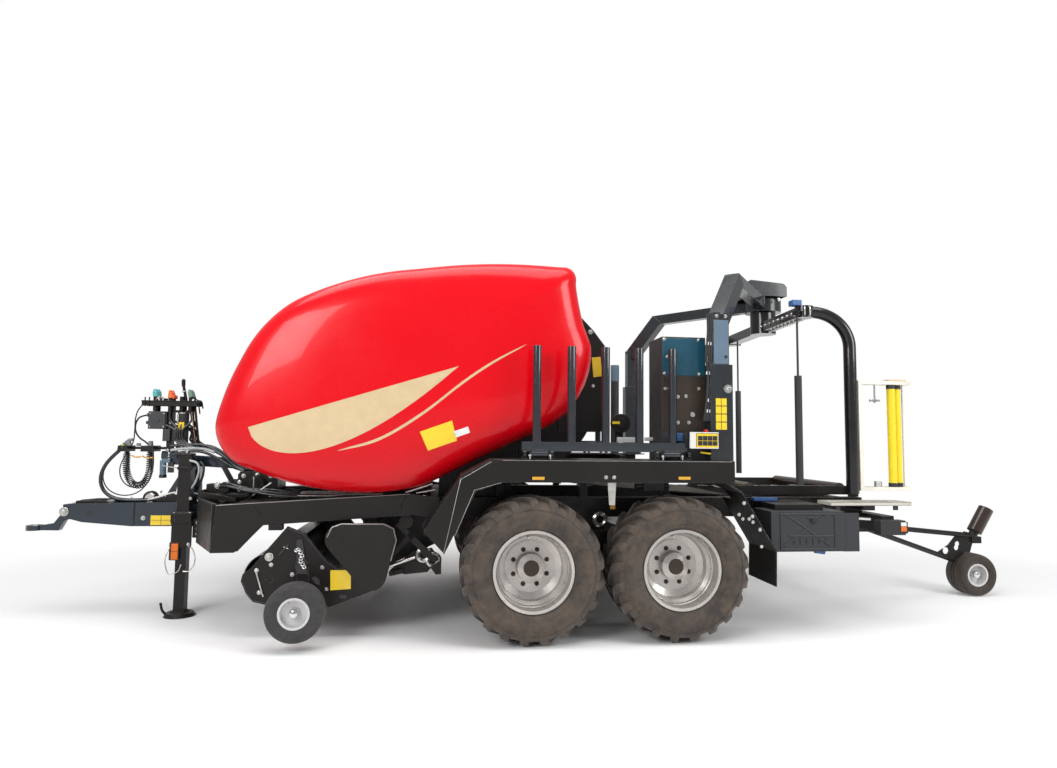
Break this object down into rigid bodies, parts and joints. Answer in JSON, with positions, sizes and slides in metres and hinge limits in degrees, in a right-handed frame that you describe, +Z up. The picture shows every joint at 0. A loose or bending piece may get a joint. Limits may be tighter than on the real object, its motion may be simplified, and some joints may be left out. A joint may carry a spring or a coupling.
{
  "type": "round baler-wrapper combination",
  "caption": "Towed round baler joined to a film wrapper on a tandem axle: pick-up, lifting side covers, opening tailgate, spinning wrap rotor, tilting table and bale turner.",
  "frame": {"origin": "on the ground under the middle of the machine's length and width", "axes": "+X forward to the hitch eye, +Y to the machine's left, +Z up"},
  "size_m": [8.9808, 2.82, 3.03],
  "materials": {
    "cover_paint": "high gloss moulded red",
    "chassis_paint": "satin black paint",
    "drawbar_paint": "gloss dark steel blue paint",
    "rotor_paint": "gloss black paint",
    "gantry_paint": "satin blue grey paint",
    "tyre_rubber": "matt, dusty",
    "rim_paint": "warm silver paint",
    "bare_steel": "worn bright steel",
    "roller_plastic": "yellow rubber-faced rollers",
    "cream_paint": "light cream paint",
    "cabinet_paint": "satin grey and teal paint",
    "toolbox_plastic": "grained dark grey",
    "lamp_lens": "clear red and amber lens in a dark body",
    "tray_paint": "light grey paint",
    "panel_plastic": "white frame with dark fields",
    "cable_rubber": "black cable sheath"
  },
  "bodies": {
    "frame": {"accumulator": "chassis_paint", "box_cable": "cable_rubber", "cabinet_and_tank": "cabinet_paint", "chain_covers": "chassis_paint", "chamber": "chassis_paint", "control_cable": "cable_rubber", "control_panel": "panel_plastic", "curly_cable": "cable_rubber", "drawbar": "drawbar_paint", "feed_housing": "chassis_paint", "fenders": "chassis_paint", "front_hose": "cable_rubber", "front_housing": "chassis_paint", "gantry": "gantry_paint", "gearbox": "chassis_paint", "hitch_eye": "drawbar_paint", "hose_mast": "chassis_paint", "jack_tube": "chassis_paint", "junction_box": "toolbox_plastic", "lamp_cable": "cable_rubber", "main_frame": "chassis_paint", "rack_brackets": "bare_steel", "rear_lights": "lamp_lens", "rotor_hood": "gantry_paint", "side_trays": "tray_paint", "table_mounts": "chassis_paint", "tandem_axle": "chassis_paint", "toolbox": "toolbox_plastic", "transfer_ramp": "bare_steel"},
    "wheel_front_left": {"tyre_front_left": "tyre_rubber", "rim_front_left": "rim_paint"},
    "wheel_front_right": {"tyre_front_right": "tyre_rubber", "rim_front_right": "rim_paint"},
    "wheel_rear_left": {"tyre_rear_left": "tyre_rubber", "rim_rear_left": "rim_paint"},
    "wheel_rear_right": {"tyre_rear_right": "tyre_rubber", "rim_rear_right": "rim_paint"},
    "pickup": {"pickup_frame": "chassis_paint", "pickup_bands": "bare_steel"},
    "reel": {"pickup_reel": "chassis_paint"},
    "gauge_wheel_left": {"gauge_tyre_left": "tyre_rubber", "gauge_rim_left": "rim_paint"},
    "cover_left": {"side_cover_left": "cover_paint"},
    "rack_left": {"film_rack_left": "rotor_paint"},
    "gauge_wheel_right": {"gauge_tyre_right": "tyre_rubber", "gauge_rim_right": "rim_paint"},
    "cover_right": {"side_cover_right": "cover_paint"},
    "rack_right": {"film_rack_right": "rotor_paint"},
    "gate": {"tailgate": "chassis_paint"},
    "jack": {"jack_leg": "chassis_paint"},
    "wrap_rotor": {"rotor_frame": "rotor_paint", "film_poles": "rotor_paint", "prestretch_frames": "cream_paint", "prestretch_rollers": "roller_plastic"},
    "table": {"wrap_table": "chassis_paint", "table_rollers": "chassis_paint"},
    "turner": {"turner_arm": "chassis_paint", "turner_roller": "rotor_paint"},
    "turner_wheel": {"turner_tyre": "tyre_rubber", "turner_rim": "rim_paint"}
  },
  "joints": [
    {"name": "wheel_front_left_spin", "type": "hinge", "parent": "frame", "child": "wheel_front_left", "pos_m": [0.3439, 1.15, 0.535], "axis": [0, 1, 0], "continuous": true},
    {"name": "wheel_front_right_spin", "type": "hinge", "parent": "frame", "child": "wheel_front_right", "pos_m": [0.3439, -1.15, 0.535], "axis": [0, 1, 0], "continuous": true},
    {"name": "wheel_rear_left_spin", "type": "hinge", "parent": "frame", "child": "wheel_rear_left", "pos_m": [-0.7731, 1.15, 0.535], "axis": [0, 1, 0], "continuous": true},
    {"name": "wheel_rear_right_spin", "type": "hinge", "parent": "frame", "child": "wheel_rear_right", "pos_m": [-0.7731, -1.15, 0.535], "axis": [0, 1, 0], "continuous": true},
    {"name": "pickup_lift", "type": "hinge", "parent": "frame", "child": "pickup", "pos_m": [1.5654, 0, 0.62], "axis": [0, -1, 0], "range_deg": [-8, 10]},
    {"name": "reel_spin", "type": "hinge", "parent": "pickup", "child": "reel", "pos_m": [2.2754, 0, 0.435], "axis": [0, 1, 0], "continuous": true},
    {"name": "gauge_wheel_left_spin", "type": "hinge", "parent": "pickup", "child": "gauge_wheel_left", "pos_m": [2.0184, 1.3, 0.272], "axis": [0, 1, 0], "continuous": true},
    {"name": "gauge_wheel_right_spin", "type": "hinge", "parent": "pickup", "child": "gauge_wheel_right", "pos_m": [2.0184, -1.3, 0.272], "axis": [0, 1, 0], "continuous": true},
    {"name": "cover_left_lift", "type": "hinge", "parent": "frame", "child": "cover_left", "pos_m": [0.5354, 0.72, 2.7], "axis": [0, -1, 0], "range_deg": [0, 40]},
    {"name": "cover_right_lift", "type": "hinge", "parent": "frame", "child": "cover_right", "pos_m": [0.5354, -0.72, 2.7], "axis": [0, -1, 0], "range_deg": [0, 40]},
    {"name": "gate_lift", "type": "hinge", "parent": "frame", "child": "gate", "pos_m": [0.5454, 0, 2.62], "axis": [0, 1, 0], "range_deg": [0, 75]},
    {"name": "jack_slide", "type": "slide", "parent": "frame", "child": "jack", "axis": [0, 0, 1], "range_m": [0, 0.4]},
    {"name": "rack_left_fold", "type": "hinge", "parent": "frame", "child": "rack_left", "pos_m": [-0.2146, 1.318, 1.387], "axis": [-1, 0, 0], "range_deg": [0, 80]},
    {"name": "rack_right_fold", "type": "hinge", "parent": "frame", "child": "rack_right", "pos_m": [-0.2146, -1.318, 1.387], "axis": [1, 0, 0], "range_deg": [0, 80]},
    {"name": "rotor_spin", "type": "hinge", "parent": "frame", "child": "wrap_rotor", "pos_m": [-2.0926, 0, 2.6], "axis": [0, 0, 1], "continuous": true},
    {"name": "table_tilt", "type": "hinge", "parent": "frame", "child": "table", "pos_m": [-2.5896, 0, 1.06], "axis": [0, -1, 0], "range_deg": [0, 35]},
    {"name": "turner_lift", "type": "hinge", "parent": "frame", "child": "turner", "pos_m": [-2.8046, 0, 0.74], "axis": [0, 1, 0], "range_deg": [0, 25]},
    {"name": "turner_wheel_spin", "type": "hinge", "parent": "turner", "child": "turner_wheel", "pos_m": [-4.2396, 0, 0.205], "axis": [0, 1, 0], "continuous": true}
  ]
}
